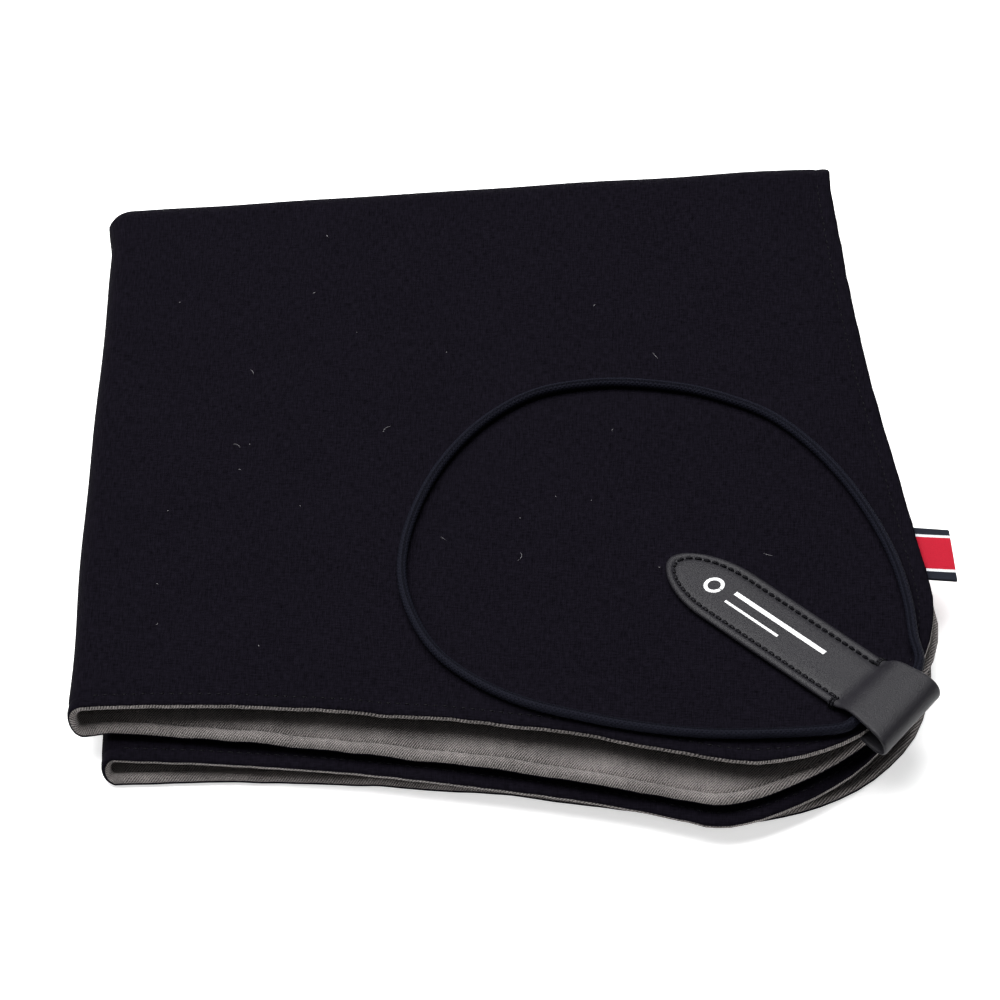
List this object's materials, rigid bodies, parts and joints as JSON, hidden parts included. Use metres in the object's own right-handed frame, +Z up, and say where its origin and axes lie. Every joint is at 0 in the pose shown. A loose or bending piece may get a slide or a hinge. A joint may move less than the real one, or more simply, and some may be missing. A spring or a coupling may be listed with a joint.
{
  "type": "folding wrap case",
  "caption": "Square cloth wrap case folded in quarters: black canvas, grey brushed lining, a leather corner strap holding an elastic loop, and a small woven side label.",
  "frame": {"origin": "centre of the folded case's base, on the surface it lies on", "axes": "+X along the back fold to the right, +Y to the back fold, +Z up"},
  "size_m": [0.2776, 0.2882, 0.0277],
  "materials": {
    "canvas": "black plain-weave cotton canvas",
    "lining": "grey brushed twill",
    "thread": "black twisted sewing thread",
    "leather": "black smooth leather, satin",
    "elastic_cord": "woven-covered black elastic cord",
    "crimp_metal": "plain",
    "woven_label": "woven ribbon, red, white and black"
  },
  "bodies": {
    "lower": {"third_quarter_canvas": "canvas", "third_quarter_lining": "lining", "bottom_quarter_canvas": "canvas", "bottom_quarter_lining": "lining", "lower_left_fold_canvas": "canvas", "lower_left_fold_lining": "lining", "outer_back_fold_canvas": "canvas", "outer_back_fold_lining": "lining", "inner_back_fold_canvas": "canvas", "inner_back_fold_lining": "lining", "corner_fold_canvas": "canvas", "corner_fold_lining": "lining", "third_hem_thread": "thread", "bottom_hem_thread": "thread"},
    "upper": {"top_quarter_canvas": "canvas", "top_quarter_lining": "lining", "second_quarter_canvas": "canvas", "second_quarter_lining": "lining", "upper_left_fold_canvas": "canvas", "upper_left_fold_lining": "lining", "top_hem_thread": "thread", "second_hem_thread": "thread", "corner_strap": "leather", "strap_thread": "thread", "side_label": "woven_label"},
    "loop": {"elastic_loop": "elastic_cord", "loop_splice": "crimp_metal"}
  },
  "joints": [
    {"name": "half_fold", "type": "hinge", "parent": "lower", "child": "upper", "pos_m": [0, 0.14064, 0.011], "axis": [-1, 0, 0], "range_deg": [0, 178], "deforming": ["outer_back_fold_canvas", "outer_back_fold_lining", "inner_back_fold_canvas", "inner_back_fold_lining", "corner_fold_canvas", "corner_fold_lining"]},
    {"name": "loop_swing", "type": "hinge", "parent": "upper", "child": "loop", "pos_m": [0.11439, -0.1115, 0.0243], "axis": [0.7071, 0.7071, 0], "range_deg": [0, 180]}
  ]
}
